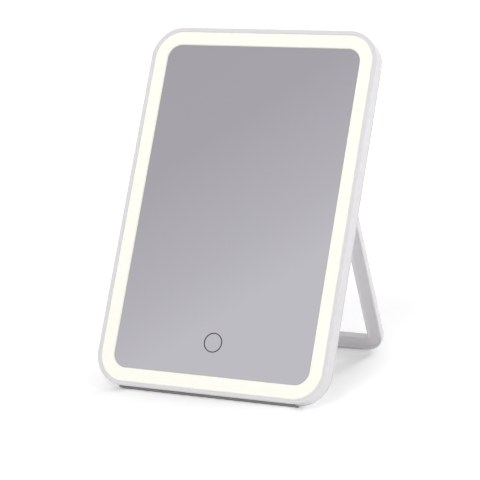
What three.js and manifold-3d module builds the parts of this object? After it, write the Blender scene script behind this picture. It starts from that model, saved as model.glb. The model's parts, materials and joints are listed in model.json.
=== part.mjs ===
// Lighted makeup mirror: a slim rectangular mirror head with a lit band round the glass, a touch ring low on
// the glass, and a U-shaped stand that folds into a recess in the back cover. It stands open, leaning back.
//
// The head is drawn upright: x to the right, y from the front plane (0) to the back, z up from the head's
// bottom edge. The whole head is then leaned back until its bottom strip and the stand's foot touch z = 0.

import * as THREE from 'three';
import { mergeVertices } from 'three/addons/utils/BufferGeometryUtils.js';
import Module from 'manifold-3d';

const wasm = await Module();
wasm.setup();

// Head outline and depth
const headWidth = 190;
const headHeight = 284;
const headDepth = 14.4;
const cornerRadius = 25;
const frontEdgeRadius = 0.8;
const backEdgeRadius = 3;

// Clearances
const seatGap = 0.3; // between pieces that rest on each other
const bondGap = 0.2; // between bonded pieces, such as tape and glass
const recessClearance = 0.5; // round the folded stand
const inkGap = 0.04; // under the printed ring
const past = 1; // how far a cutter runs past a face
const sunk = 0.4; // how far a boss or block is sunk into the piece it is moulded or soldered to

// Front frame
const rimWidth = 3.3;
const rimThickness = 1.5;
const frameWall = 1.8;
const rebateDepth = 1.8;
const rebateWall = 1;

// Lit band and glass
const bandWidth = 10.2;
const bandThickness = 2.6;
const bandSetback = 0.2; // band face behind the rim face
const glassSetback = 1.1; // glass face behind the band face
const glassThickness = 2;
const glassChamfer = 0.3;
const bandCrownRadius = 0.4;

// Touch ring on the glass, with its electrode behind
const touchHeight = 39;
const touchRadius = 7.1;
const touchLine = 0.8;
const inkThickness = 0.1;
const electrodeRadius = 8;
const electrodeThickness = 0.3;
const foamPlugRadius = 4;

// Tape and light tray
const tapeWidth = 6;
const tapeMargin = 2; // between the glass edge and the tape
const tapeThickness = 0.5;
const trayWall = 1;
const trayPlate = 1.2;
const trayFloor = 0.9;
const troughDepth = 2.4;
const leadHoleRadius = 1.2;
const leadHoleInset = 11;
const leadHoleHeight = 42;

// Light strips
const stripThickness = 0.3;
const stripBreadth = 2;
const ledPitch = 10;
const ledLength = 2.8;
const ledBreadth = 1.4;
const ledHeight = 0.8;
const stripEndMargin = 5;

// Back cover
const coverWall = 1.5;
const recessWall = 1.2;
const tongueThickness = 1;
const tongueLength = 1.5;
const scoopRadius = 12;
const scoopDepth = 5.5;

// Stand
const standSideMargin = 19.5; // from the head's side to the stand
const standFootMargin = 6.5; // from the head's bottom to the folded stand's foot
const standLegWidth = 12;
const standThickness = 6.2;
const standOuterRadius = 14.5;
const standInnerRadius = 3.5;
const standEdgeRadius = 0.8;
const channelLip = 1.7;
const channelDepth = 1.5;
const hingeHeight = 192;
const openDegrees = 49.6;
const heelReach = 5.5;
const knuckleLength = 8;
const hubLength = 14;

// Hinge pin and washers
const pinRadius = 1.2;
const pinBossLength = 2.8;
const pinBossRadius = 2.7;
const pinOverhang = 0.5; // past each boss
const washerRadius = 2.7;
const washerThickness = 0.6;

// Rubber strips that touch the table
const baseStripLength = 146;
const baseStripBreadth = 8.4;
const baseStripFront = 2.5;
const baseStripProud = 0.9;
const baseGrooveDepth = 0.3;
const baseStripCorner = 1.2;
const footStripLength = 118;
const footStripBreadth = 2.4;
const footStripFront = 1.3; // from the front face of the stand
const footStripProud = 0.6;
const footGrooveDepth = 1;

// Screws that hold the back cover to the tray
const coverScrewInset = 22; // of the end screws, from the head's top and bottom
const coverScrewRadius = 1;
const coverScrewHeadRadius = 1.9;
const coverScrewHeadHeight = 0.9;
const coverScrewSink = 0.3;
const coverScrewRim = 0.1; // straight edge of the countersunk head
const coverScrewPoint = 0.6;
const trayBossRadius = 2.7;

// Screws of the boards
const boardScrewRadius = 0.7;
const boardScrewHeadRadius = 1.4;
const boardScrewHeadHeight = 0.7;
const boardPostRadius = 1.9;
const boardScrewPoint = 0.3;
const screwTipGap = 0.4; // between a screw's tip and the end of its hole
const boardScrewMargin = 3.2; // from a board's edges

// Battery
const batteryWidth = 52;
const batteryHeight = 90;
const batteryThickness = 5;
const batteryBottom = 82;
const batteryEdge = 1.2;
const batteryCorner = 3;
const batteryPadThickness = 0.5;
const batteryPadInset = 6;
const batteryPadCorner = 2;

// Control board, behind the touch ring
const controlWidth = 48;
const controlHeight = 28;
const boardThickness = 1;
const controlStandoff = 2.6;
const boardCorner = 1.2;

// Charging board at the left side, with the socket and the slide switch on it
const boardGap = 1.8; // between a board and the stand's recess
const chargeHeight = 50;
const chargeBottom = 29;
const chargeInset = 3.7; // from the head's left side
const chargeThickness = 0.8;
const portHeight = 42;
const portDepth = 8.6;
const socketWidth = 8.9;
const socketThickness = 3.2;
const socketLength = 7.3;
const socketWall = 0.3;
const socketMouthSetback = 0.3;
const socketBack = 1;
const contactTongueThickness = 0.7;
const contactTongueWidth = 6.6;
const contactTongueSetback = 0.8;
const cutterReach = 4; // how far the port's cutter reaches into the head
const portClearance = 0.35;

// Slide switch
const switchHeight = 64;
const switchTravel = 2.5;
const switchBodyLength = 8.6;
const switchBodyDepth = 4;
const switchSlotDepth = 2.6;
const stemEndGap = 0.4;
const knobLength = 4.8;
const knobBreadth = 3;
const knobThickness = 0.7;
const knobSetback = 0.1;
const knobCorner = 0.8;
const knobStemLength = 2.2;
const knobStemBreadth = 1;
const pocketDepth = 1.1;
const knobGrooves = 3;
const knobGroovePitch = 1.1;
const knobGrooveWidth = 0.4;
const knobGrooveDepth = 0.3;

// Leads
const leadRadius = 0.4;
const leadStepsPerPoint = 4;
const leadSides = 6;

// Smoothness
const cornerSteps = 9;
const smallCornerSteps = 3;
const filletSteps = 4;
const roundSides = 20;
const screwSides = 12;
const ringSteps = 20;
const weldDistance = 1e-4;
const leastRadius = 0.3;

// Depths that follow from the sizes above
const splitDepth = headDepth - backEdgeRadius - seatGap; // back end of the front frame
const coverEdge = headDepth - backEdgeRadius;
const bandBack = bandSetback + bandThickness;
const glassFront = bandSetback + glassSetback;
const glassBack = glassFront + glassThickness;
const tapeFront = glassBack + bondGap;
const plateFront = tapeFront + tapeThickness + bondGap;
const plateBack = plateFront + trayPlate;
const trayWallFront = bandBack + seatGap;
const troughFloorFront = trayWallFront + troughDepth;
const troughFloorBack = troughFloorFront + trayFloor;
const coverInside = headDepth - coverWall;
const recessFloor = headDepth - standThickness - seatGap;
const recessInside = recessFloor - recessWall;
const pivotDepth = headDepth - standThickness / 2;

// The stand, and the walls of its recess
const standWidth = headWidth - 2 * standSideMargin;
const legLength = hingeHeight - standFootMargin;
const recessSide = standWidth / 2 + recessClearance + recessWall;
const recessFootClearance = footStripProud + seatGap;
const scoopHeight = standFootMargin + standLegWidth + recessClearance;
const scoopTop = scoopHeight + scoopRadius + recessWall;

// Insets from the head's outline
const bandOuterInset = rimWidth + seatGap;
const bandInnerInset = rimWidth + bandWidth;
const glassInset = bandInnerInset + seatGap;
const trayOuterInset = frameWall + seatGap;
const troughInset = trayOuterInset + trayWall;
const tongueInset = rebateWall + seatGap;
const coverInnerInset = tongueInset + tongueThickness;

// The screws stand midway between the recess and the cover's side wall, and the boards beside the recess
const coverScrewX = (recessSide + headWidth / 2 - coverInnerInset) / 2;
const coverScrewHeights = [coverScrewInset, headHeight / 2, headHeight - coverScrewInset];
const controlBottom = scoopTop + boardGap;
const chargeWidth = headWidth / 2 - chargeInset - recessSide - boardGap;

// Geometry helpers

function corners(width, height, radius, steps = cornerSteps) {
  const points = [];
  [[1, -1], [1, 1], [-1, 1], [-1, -1]].forEach(([sideX, sideZ], corner) => {
    for (let step = 0; step <= steps; step++) {
      const angle = (corner - 1 + step / steps) * Math.PI / 2;
      points.push([
        sideX * (width / 2 - radius) + radius * Math.cos(angle),
        sideZ * (height / 2 - radius) + radius * Math.sin(angle),
      ]);
    }
  });
  return points;
}

function signedVolume(vertices, triangles) {
  let sum = 0;
  const [a, b, c] = [new THREE.Vector3(), new THREE.Vector3(), new THREE.Vector3()];
  for (let i = 0; i < triangles.length; i += 3) {
    a.fromArray(vertices, 3 * triangles[i]);
    b.fromArray(vertices, 3 * triangles[i + 1]);
    c.fromArray(vertices, 3 * triangles[i + 2]);
    sum += a.dot(b.cross(c)) / 6;
  }
  return sum;
}

function indexed(vertices, triangles) {
  if (signedVolume(vertices, triangles) < 0) triangles.reverse();
  const geometry = new THREE.BufferGeometry();
  geometry.setAttribute('position', new THREE.Float32BufferAttribute(vertices, 3));
  geometry.setIndex(triangles);
  return geometry;
}

// Carries a profile of [inset, depth] points round a rounded rectangle. A closed profile gives a frame; an
// open one is closed across the middle at both its ends, which gives a plate or a dish.
function carried(profile, isFrame, outline = {}) {
  const { width = headWidth, height = headHeight, radius = cornerRadius } = outline;
  const { centreX = 0, centreZ = headHeight / 2 } = outline;
  const vertices = [];
  const triangles = [];
  const count = 4 * (cornerSteps + 1);
  for (const [inset, depth] of profile) {
    const ring = corners(width - 2 * inset, height - 2 * inset, Math.max(radius - inset, leastRadius));
    for (const [x, z] of ring) vertices.push(centreX + x, depth, centreZ + z);
  }
  const rings = profile.length;
  for (let ring = 0; ring < (isFrame ? rings : rings - 1); ring++) {
    for (let i = 0; i < count; i++) {
      const next = (i + 1) % count;
      const [here, there] = [ring * count, ((ring + 1) % rings) * count];
      triangles.push(here + i, here + next, there + next, here + i, there + next, there + i);
    }
  }
  if (!isFrame) {
    const first = vertices.length / 3;
    vertices.push(centreX, profile[0][1], centreZ, centreX, profile[rings - 1][1], centreZ);
    for (let i = 0; i < count; i++) {
      const next = (i + 1) % count;
      const last = (rings - 1) * count;
      triangles.push(first, next, i, first + 1, last + i, last + next);
    }
  }
  return indexed(vertices, triangles);
}

// Points of an arc, from and to in degrees, as [a, b] pairs
function arc(centreA, centreB, radius, from, to, steps = filletSteps) {
  return Array.from({ length: steps + 1 }, (_, step) => {
    const angle = THREE.MathUtils.degToRad(from + (to - from) * step / steps);
    return [centreA + radius * Math.cos(angle), centreB + radius * Math.sin(angle)];
  });
}

function shapeOf(points) {
  return new THREE.Shape(points.map(([a, b]) => new THREE.Vector2(a, b)));
}

function rounded(width, height, radius, centreA = 0, centreB = 0) {
  const points = corners(width, height, radius, smallCornerSteps);
  return shapeOf(points.map(([a, b]) => [centreA + a, centreB + b]));
}

const depthwise = new THREE.Matrix4().makeBasis(
  new THREE.Vector3(1, 0, 0), new THREE.Vector3(0, 0, 1), new THREE.Vector3(0, -1, 0));
const sideways = new THREE.Matrix4().makeBasis(
  new THREE.Vector3(0, 1, 0), new THREE.Vector3(0, 0, 1), new THREE.Vector3(1, 0, 0));

// A shape drawn in x and z, from one depth to another
function slab(shape, from, to, edge = 0) {
  const bevel = edge > 0
    ? { bevelEnabled: true, bevelSize: edge, bevelThickness: edge, bevelOffset: -edge, bevelSegments: 2 }
    : { bevelEnabled: false };
  const geometry = new THREE.ExtrudeGeometry(shape, { depth: to - from - 2 * edge, ...bevel });
  return geometry.translate(0, 0, edge - to).applyMatrix4(depthwise);
}

// A shape drawn in y and z, from one x to another
function bar(shape, from, to) {
  const geometry = new THREE.ExtrudeGeometry(shape, { depth: to - from, bevelEnabled: false });
  return geometry.translate(0, 0, from).applyMatrix4(sideways);
}

function block(x0, x1, y0, y1, z0, z1) {
  return new THREE.BoxGeometry(x1 - x0, y1 - y0, z1 - z0)
    .translate((x0 + x1) / 2, (y0 + y1) / 2, (z0 + z1) / 2);
}

function depthRod(radius, from, to, x, z, sides = roundSides) {
  return new THREE.CylinderGeometry(radius, radius, to - from, sides).translate(x, (from + to) / 2, z);
}

function crossRod(radius, from, to, y, z, sides = roundSides) {
  return new THREE.CylinderGeometry(radius, radius, to - from, sides)
    .rotateZ(Math.PI / 2)
    .translate((from + to) / 2, y, z);
}

// A turned profile of [radius, depth] points, about a depthwise axis
function turned(profile, x, z, sides = roundSides) {
  return new THREE.LatheGeometry(profile.map(([r, y]) => new THREE.Vector2(r, y)), sides).translate(x, 0, z);
}

function solid(geometry) {
  const bare = geometry.index ? geometry.toNonIndexed() : geometry.clone();
  bare.deleteAttribute('normal');
  bare.deleteAttribute('uv');
  const merged = mergeVertices(bare, weldDistance);
  const vertices = Array.from(merged.attributes.position.array);
  const triangles = [];
  for (let i = 0; i < merged.index.count; i += 3) {
    const [a, b, c] = [merged.index.getX(i), merged.index.getX(i + 1), merged.index.getX(i + 2)];
    if (a !== b && b !== c && c !== a) triangles.push(a, b, c);
  }
  if (signedVolume(vertices, triangles) < 0) triangles.reverse();
  return new wasm.Manifold(new wasm.Mesh({
    numProp: 3,
    vertProperties: new Float32Array(vertices),
    triVerts: new Uint32Array(triangles),
  }));
}

function joined(...geometries) {
  return geometries.map(solid).reduce((sum, next) => sum.add(next));
}

function meshGeometry(body) {
  const { vertProperties, triVerts } = body.getMesh();
  const geometry = new THREE.BufferGeometry();
  geometry.setAttribute('position', new THREE.BufferAttribute(Float32Array.from(vertProperties), 3));
  geometry.setIndex(new THREE.BufferAttribute(Uint32Array.from(triVerts), 1));
  return geometry;
}

// Finishes
const finish = (color, roughness, metalness = 0) => ({ color, roughness, metalness });
const housingWhite = finish(0xe6e4e6, 0.42);
const standWhite = finish(0xe2e0e3, 0.45);
const opalAcrylic = { ...finish(0xfefdf5, 0.35), emissive: 0xfefdf5 };
const silverGlass = finish(0xb2b0b6, 0.05, 1);
const greyInk = finish(0x777577, 0.5);
const greyRubber = finish(0x777577, 0.85);
const paleRubber = finish(0xd4d2d4, 0.8);
const foamTape = finish(0x3a3a3c, 0.9);
const trayWhite = finish(0xf2f2f0, 0.5);
const stripWhite = finish(0xf4f1e4, 0.5);
const boardGreen = finish(0x1f6a44, 0.5);
const copperFoil = finish(0xc98a5a, 0.35, 1);
const conductiveFoam = finish(0x2c2c2e, 0.9);
const batterySilver = finish(0xb9bcc2, 0.4, 0.6);
const plainSteel = finish(0xc0c2c4, 0.3, 1);
const blackPlastic = finish(0x1d1d1f, 0.5);
const washerNylon = finish(0xd9d6cf, 0.6);
const redLead = finish(0xb5302c, 0.5);

const head = new THREE.Group();

function piece(name, shape, look, parent = head) {
  const geometry = shape.isBufferGeometry ? shape : meshGeometry(shape);
  const mesh = new THREE.Mesh(geometry, new THREE.MeshStandardMaterial(look));
  mesh.name = name;
  parent.add(mesh);
}

// Front frame: rim, side wall and rebate in one moulding, cut for the socket, the switch and the base strip
function frontFrame() {
  const edge = frontEdgeRadius;
  const moulding = solid(carried([
    [0, splitDepth],
    ...arc(edge, edge, edge, 180, 270),
    [rimWidth - seatGap, 0],
    [rimWidth, seatGap],
    [rimWidth, rimThickness],
    [frameWall, rimThickness],
    [frameWall, splitDepth - rebateDepth],
    [rebateWall, splitDepth - rebateDepth],
    [rebateWall, splitDepth],
  ], true));
  return moulding
    .subtract(portHole())
    .subtract(switchPocket())
    .subtract(baseGroove());
}

function portHole() {
  const height = socketThickness + 2 * portClearance;
  const shape = rounded(height, socketWidth + 2 * portClearance, height / 2 - 0.01, portDepth, portHeight);
  return solid(bar(shape, -headWidth / 2 - past, -headWidth / 2 + cutterReach));
}

function switchPocket() {
  const side = -headWidth / 2;
  const pocketLength = knobLength + switchTravel + 2 * seatGap;
  const pocketBreadth = knobBreadth + 2 * seatGap;
  const pocket = rounded(pocketBreadth, pocketLength, 1, portDepth, switchHeight);
  const slotLength = knobStemLength + switchTravel + 2 * seatGap;
  const slot = rounded(knobStemBreadth + 2 * seatGap, slotLength, 0.5, portDepth, switchHeight);
  return joined(bar(pocket, side - past, side + pocketDepth), bar(slot, side, side + frameWall + past));
}

function baseGroove() {
  const from = baseStripFront - seatGap;
  const half = baseStripLength / 2 + seatGap;
  return solid(block(-half, half, from, headDepth, -past, baseGrooveDepth));
}

// Lit band: an opal frame with a flange that sits behind the rim
function litBand() {
  const flangeFront = rimThickness + seatGap;
  const crown = bandCrownRadius;
  return carried([
    [bandOuterInset, bandSetback],
    ...arc(bandInnerInset - crown, bandSetback + crown, crown, 270, 360, 2),
    [bandInnerInset, bandBack],
    [trayOuterInset, bandBack],
    [trayOuterInset, flangeFront],
    [bandOuterInset, flangeFront],
  ], true);
}

function mirrorGlass() {
  return carried([
    [glassInset + glassChamfer, glassFront],
    [glassInset, glassFront + glassChamfer],
    [glassInset, glassBack],
  ], false);
}

function touchRing() {
  const shape = new THREE.Shape().absarc(0, touchHeight, touchRadius + touchLine / 2, 0, 2 * Math.PI);
  shape.holes.push(new THREE.Path().absarc(0, touchHeight, touchRadius - touchLine / 2, 0, 2 * Math.PI));
  const back = glassFront - inkGap;
  const settings = { depth: inkThickness, curveSegments: ringSteps, bevelEnabled: false };
  return new THREE.ExtrudeGeometry(shape, settings).translate(0, 0, -back).applyMatrix4(depthwise);
}

function tapeFrame() {
  const outer = glassInset + tapeMargin;
  return carried([
    [outer, tapeFront],
    [outer + tapeWidth, tapeFront],
    [outer + tapeWidth, tapeFront + tapeThickness],
    [outer, tapeFront + tapeThickness],
  ], true);
}

// Light tray: a plate that carries the glass, with a trough for the lights round it and bosses behind
function lightTray() {
  const stepInset = bandInnerInset + seatGap;
  const outside = solid(carried([
    [stepInset, plateFront],
    [stepInset, troughFloorFront],
    [troughInset, troughFloorFront],
    [troughInset, trayWallFront],
    [trayOuterInset, trayWallFront],
    [trayOuterInset, troughFloorBack],
    [stepInset + trayPlate, troughFloorBack],
    [stepInset + trayPlate, plateBack],
  ], false));
  let tray = outside;
  for (const [x, z] of coverScrewPlaces()) {
    tray = tray.add(solid(depthRod(trayBossRadius, troughFloorBack - sunk, coverInside - seatGap, x, z)));
    const holeEnd = troughFloorBack + screwTipGap;
    tray = tray.subtract(solid(depthRod(coverScrewRadius + seatGap, holeEnd, headDepth, x, z, screwSides)));
  }
  for (const { x, z, seat, top } of boardScrewPlaces()) {
    tray = tray.add(solid(depthRod(boardPostRadius, seat - sunk, top, x, z, screwSides)));
    const hole = depthRod(boardScrewRadius + seatGap, seat + screwTipGap, headDepth, x, z, screwSides);
    tray = tray.subtract(solid(hole));
  }
  const [holeX, holeZ] = leadHole;
  const [wayFrom, wayTo] = [troughFloorFront - past, troughFloorBack + past];
  const leadWay = depthRod(leadHoleRadius, wayFrom, wayTo, holeX, holeZ, screwSides);
  const plugWay = depthRod(foamPlugRadius + seatGap, plateFront - past, plateBack + past, 0, touchHeight);
  return tray.subtract(solid(leadWay)).subtract(solid(plugWay));
}

function coverScrewPlaces() {
  return coverScrewHeights.flatMap((z) => [[-coverScrewX, z], [coverScrewX, z]]);
}

const controlFront = plateBack + controlStandoff;
const chargeFront = portDepth + socketThickness / 2 + bondGap;
const chargeLeft = -headWidth / 2 + chargeInset;

function boardScrewPlaces() {
  const margin = boardScrewMargin;
  const [left, right] = [-controlWidth / 2 + margin, controlWidth / 2 - margin];
  const [low, high] = [controlBottom + margin, controlBottom + controlHeight - margin];
  const chargeX = chargeLeft + chargeWidth - margin;
  const control = { seat: plateBack, top: controlFront - bondGap, face: controlFront + boardThickness };
  const charge = { seat: troughFloorBack, top: chargeFront - bondGap, face: chargeFront + chargeThickness };
  return [
    { name: 'control_board_screw_left', x: left, z: high, ...control },
    { name: 'control_board_screw_right', x: right, z: high, ...control },
    { name: 'charge_board_screw_lower', x: chargeX, z: chargeBottom + margin, ...charge },
    { name: 'charge_board_screw_upper', x: chargeX, z: chargeBottom + chargeHeight - margin, ...charge },
  ];
}

// One light strip: a flexible circuit on the trough's outer wall with a row of lights facing inwards
function lightStrip(length) {
  const front = trayWallFront + (troughDepth - stripBreadth) / 2;
  const count = Math.floor((length - 2 * stripEndMargin) / ledPitch) + 1;
  const flex = block(-length / 2, length / 2, front, front + stripBreadth, -stripThickness, 0);
  const middle = front + stripBreadth / 2;
  const lights = Array.from({ length: count }, (_, i) => {
    const x = (i - (count - 1) / 2) * ledPitch;
    return block(x - ledLength / 2, x + ledLength / 2, middle - ledBreadth / 2, middle + ledBreadth / 2,
      -stripThickness - ledHeight, -stripThickness / 2);
  });
  return joined(flex, ...lights);
}

function placeStrips() {
  const reach = troughInset + bondGap;
  const straightZ = headHeight - 2 * cornerRadius;
  const straightX = headWidth - 2 * cornerRadius;
  const sides = [
    ['led_strip_top', straightX, 0, headHeight - reach, 0],
    ['led_strip_bottom', straightX, 0, reach, Math.PI],
    ['led_strip_right', straightZ, headWidth / 2 - reach, headHeight / 2, Math.PI / 2],
    ['led_strip_left', straightZ, -headWidth / 2 + reach, headHeight / 2, -Math.PI / 2],
  ];
  for (const [name, length, x, z, turn] of sides) {
    const strip = meshGeometry(lightStrip(length - 2 * stripEndMargin)).rotateY(turn).translate(x, 0, z);
    piece(name, strip, stripWhite);
  }
}

// Outline of the stand about its hinge line, grown by a clearance: two legs and a foot bar. The clearance can
// be another one at the foot.
function standOutline(grow, top, footGrow = grow) {
  const outer = standWidth / 2 + grow;
  const inner = standWidth / 2 - standLegWidth - grow;
  const bottom = -legLength - footGrow;
  const barTop = -legLength + standLegWidth + grow;
  const outerRadius = standOuterRadius + grow;
  const innerRadius = Math.max(standInnerRadius - grow, leastRadius);
  return shapeOf([
    [-outer, top],
    ...arc(-outer + outerRadius, bottom + outerRadius, outerRadius, 180, 270, 8),
    ...arc(outer - outerRadius, bottom + outerRadius, outerRadius, 270, 360, 8),
    [outer, top],
    [inner, top],
    ...arc(inner - innerRadius, barTop + innerRadius, innerRadius, 0, -90),
    ...arc(-inner + innerRadius, barTop + innerRadius, innerRadius, 270, 180),
    [-inner, top],
  ]);
}

const openAngle = THREE.MathUtils.degToRad(openDegrees);

// Cuts the hinge end with flats at half the opening angle and at all of it, so that the end clears the recess
// floor as it turns and rests its flat on that floor when the stand is open.
function heelCut(angle) {
  const reach = standThickness / 2;
  const normal = new THREE.Vector2(-Math.cos(angle), Math.sin(angle));
  const along = new THREE.Vector2(Math.sin(angle), Math.cos(angle));
  const far = 2 * heelReach + reach;
  const at = (a, n) => [along.x * a + normal.x * n, along.y * a + normal.y * n];
  const shape = shapeOf([at(-far, reach), at(far, reach), at(far, reach + far), at(-far, reach + far)]);
  return solid(bar(shape, -headWidth / 2, headWidth / 2));
}

function standFrame() {
  const half = standThickness / 2;
  let frame = solid(slab(standOutline(0, heelReach), -half, half, standEdgeRadius));
  const channelTop = -hubLength;
  const channel = solid(slab(standOutline(-channelLip, channelTop), -half - past, -half + channelDepth));
  frame = frame.subtract(channel).subtract(heelCut(openAngle / 2)).subtract(heelCut(openAngle));
  const relief = washerThickness + 2 * seatGap - recessClearance;
  const [outer, inner] = [standWidth / 2, standWidth / 2 - standLegWidth];
  for (const side of [-1, 1]) {
    for (const [from, to] of [[outer - relief, outer + past], [inner - past, inner + relief]]) {
      const [x0, x1] = side > 0 ? [from, to] : [-to, -from];
      frame = frame.subtract(solid(block(x0, x1, -headDepth, headDepth, -knuckleLength, heelReach + past)));
    }
  }
  const bore = crossRod(pinRadius + seatGap, -headWidth / 2, headWidth / 2, 0, 0);
  return frame.subtract(solid(bore)).subtract(solid(footGroove()));
}

function footGroove() {
  const from = -standThickness / 2 + footStripFront - seatGap;
  const to = from + footStripBreadth + 2 * seatGap;
  const length = footStripLength / 2 + seatGap;
  return block(-length, length, from, to, -legLength - past, -legLength + footGrooveDepth);
}

function footStrip() {
  const from = -standThickness / 2 + footStripFront;
  const top = -legLength + footGrooveDepth - seatGap;
  const half = footStripLength / 2;
  return block(-half, half, from, from + footStripBreadth, -legLength - footStripProud, top);
}

// Back cover: a shallow dish with the stand's recess, a finger scoop, hinge bosses and screw holes
function backCover() {
  const edge = backEdgeRadius;
  const innerFillet = edge - coverWall;
  const outside = solid(carried([
    [tongueInset, splitDepth - tongueLength],
    [tongueInset, coverEdge],
    ...arc(edge, coverEdge, edge, 180, 90),
  ], false));
  const innerStart = coverInnerInset;
  const inside = solid(carried([
    [innerStart, splitDepth - tongueLength - past],
    ...arc(innerStart + innerFillet, coverInside - innerFillet, innerFillet, 180, 90),
  ], false));
  const recessTop = Math.hypot(heelReach, standThickness / 2) + seatGap;
  const place = (geometry) => solid(geometry.translate(0, 0, hingeHeight));
  const grown = recessClearance + recessWall;
  const skinShape = standOutline(grown, recessTop + recessWall, recessFootClearance + recessWall);
  const recessSkin = place(slab(skinShape, recessInside, coverInside + sunk));
  const recessShape = standOutline(recessClearance, recessTop, recessFootClearance);
  const recess = place(slab(recessShape, recessFloor, headDepth + past));
  const belowSkin = solid(block(-headWidth, headWidth, 0, coverInside + sunk, 0, headHeight));
  let cover = outside.subtract(inside).add(recessSkin).add(scoop(recessWall).intersect(belowSkin));
  for (const [from, to] of hingeBossSpans()) {
    cover = cover.add(solid(crossRod(pinBossRadius, from, to, pivotDepth, hingeHeight)));
  }
  cover = cover.subtract(recess).subtract(scoop(0));
  const [pinFrom, pinTo] = hingePinSpan();
  for (const [from, to] of [[pinFrom - past, pinTo + past], [-pinTo - past, -pinFrom + past]]) {
    cover = cover.subtract(solid(crossRod(pinRadius + seatGap, from, to, pivotDepth, hingeHeight)));
  }
  for (const [x, z] of coverScrewPlaces()) cover = cover.subtract(solid(screwHole(x, z)));
  return cover.subtract(portHole()).subtract(switchPocket());
}

// The finger scoop is a half ellipsoid above the foot bar's recess
function scoop(wall) {
  const radius = scoopRadius + wall;
  return solid(new THREE.SphereGeometry(1, 24, 16)
    .scale(radius, scoopDepth + wall, radius)
    .translate(0, headDepth, scoopHeight));
}

function hingeBossSpans() {
  const outer = standWidth / 2 + recessClearance;
  const inner = standWidth / 2 - standLegWidth - recessClearance;
  const spans = [
    [outer, outer + recessWall + pinBossLength],
    [inner - recessWall - pinBossLength, inner],
  ];
  return [...spans, ...spans.map(([from, to]) => [-to, -from])];
}

function screwHole(x, z) {
  const shank = coverScrewRadius + seatGap;
  const mouth = coverScrewHeadRadius + seatGap;
  const coneBack = headDepth - coverScrewSink;
  return turned([
    [0, coverInside - past],
    [shank, coverInside - past],
    [shank, coneBack - coverScrewHeadHeight],
    [mouth, coneBack],
    [mouth, headDepth + past],
    [0, headDepth + past],
  ], x, z, screwSides);
}

function coverScrew(x, z) {
  const top = headDepth - coverScrewSink;
  const tip = troughFloorBack + 2 * screwTipGap;
  return turned([
    [0, tip],
    [coverScrewRadius, tip + coverScrewPoint],
    [coverScrewRadius, top - coverScrewHeadHeight],
    [coverScrewHeadRadius, top - coverScrewRim],
    [coverScrewHeadRadius, top],
    [0, top],
  ], x, z, screwSides);
}

function boardScrew({ x, z, seat, face }) {
  const under = face + bondGap;
  const tip = seat + screwTipGap + seatGap;
  return turned([
    [0, tip],
    [boardScrewRadius, tip + boardScrewPoint],
    [boardScrewRadius, under],
    [boardScrewHeadRadius, under],
    [boardScrewHeadRadius, under + boardScrewHeadHeight],
    [0, under + boardScrewHeadHeight],
  ], x, z, screwSides);
}

function hingePinSpan() {
  const from = standWidth / 2 - standLegWidth - recessClearance - recessWall - pinBossLength;
  const to = standWidth / 2 + recessClearance + recessWall + pinBossLength;
  return [from - pinOverhang, to + pinOverhang];
}

function placeHinge() {
  const [from, to] = hingePinSpan();
  const outer = standWidth / 2 + recessClearance - seatGap;
  const inner = standWidth / 2 - standLegWidth - recessClearance + seatGap;
  for (const [label, side] of [['left', -1], ['right', 1]]) {
    const span = (a, b) => (side > 0 ? [a, b] : [-b, -a]);
    piece(`hinge_pin_${label}`, crossRod(pinRadius, ...span(from, to), pivotDepth, hingeHeight), plainSteel);
    const washers = [['outer', outer - washerThickness, outer], ['inner', inner, inner + washerThickness]];
    for (const [place, a, b] of washers) {
      const disc = solid(crossRod(washerRadius, ...span(a, b), pivotDepth, hingeHeight));
      const hole = solid(crossRod(pinRadius + seatGap, ...span(a - past, b + past), pivotDepth, hingeHeight));
      piece(`friction_washer_${label}_${place}`, disc.subtract(hole), washerNylon);
    }
  }
}

// Boards and what is soldered on them
function chip(x, z, width, height, from, to) {
  return block(x - width / 2, x + width / 2, from, to, z - height / 2, z + height / 2);
}

function controlBoard() {
  const back = controlFront + boardThickness;
  const middle = controlBottom + controlHeight / 2;
  let board = solid(slab(rounded(controlWidth, controlHeight, boardCorner, 0, middle), controlFront, back));
  // Each part's place from the board's middle and its size, in shares of the board's width and height, and
  // how many board thicknesses it stands up
  const parts = [
    [-0.13, 0, 0.15, 0.25, 1], [0.15, 0.11, 0.1, 0.18, 2.4], [0.15, -0.21, 0.08, 0.11, 1.2],
    [-0.35, -0.14, 0.13, 0.16, 2.6], [0.35, -0.18, 0.13, 0.16, 2.6], [-0.04, 0.36, 0.17, 0.14, 2.6],
  ];
  for (const [x, z, width, height, tall] of parts) {
    const raised = chip(x * controlWidth, middle + z * controlHeight, width * controlWidth,
      height * controlHeight, back - sunk, back + tall * boardThickness);
    board = board.add(solid(raised));
  }
  for (const { x, z } of boardScrewPlaces().slice(0, 2)) {
    board = board.subtract(solid(depthRod(boardScrewRadius + seatGap, 0, headDepth, x, z, screwSides)));
  }
  return board;
}

function chargeBoard() {
  const [front, back] = [chargeFront, chargeFront + chargeThickness];
  const middle = chargeBottom + chargeHeight / 2;
  const shape = rounded(chargeWidth, chargeHeight, boardCorner, chargeLeft + chargeWidth / 2, middle);
  let board = solid(slab(shape, front, back));
  // Each part's place from the board's lower left corner and its size, in shares of the board's width and
  // height, and how many board thicknesses it stands up
  const parts = [[0.67, 0.44, 0.4, 0.1, 2.5], [0.76, 0.7, 0.32, 0.12, 3], [0.43, 0.88, 0.24, 0.06, 1.2]];
  for (const [x, z, width, height, tall] of parts) {
    const raised = chip(chargeLeft + x * chargeWidth, chargeBottom + z * chargeHeight, width * chargeWidth,
      height * chargeHeight, front - tall * chargeThickness, front + sunk);
    board = board.add(solid(raised));
  }
  for (const { x, z } of boardScrewPlaces().slice(2)) {
    board = board.subtract(solid(depthRod(boardScrewRadius + seatGap, 0, headDepth, x, z, screwSides)));
  }
  return board;
}

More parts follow.
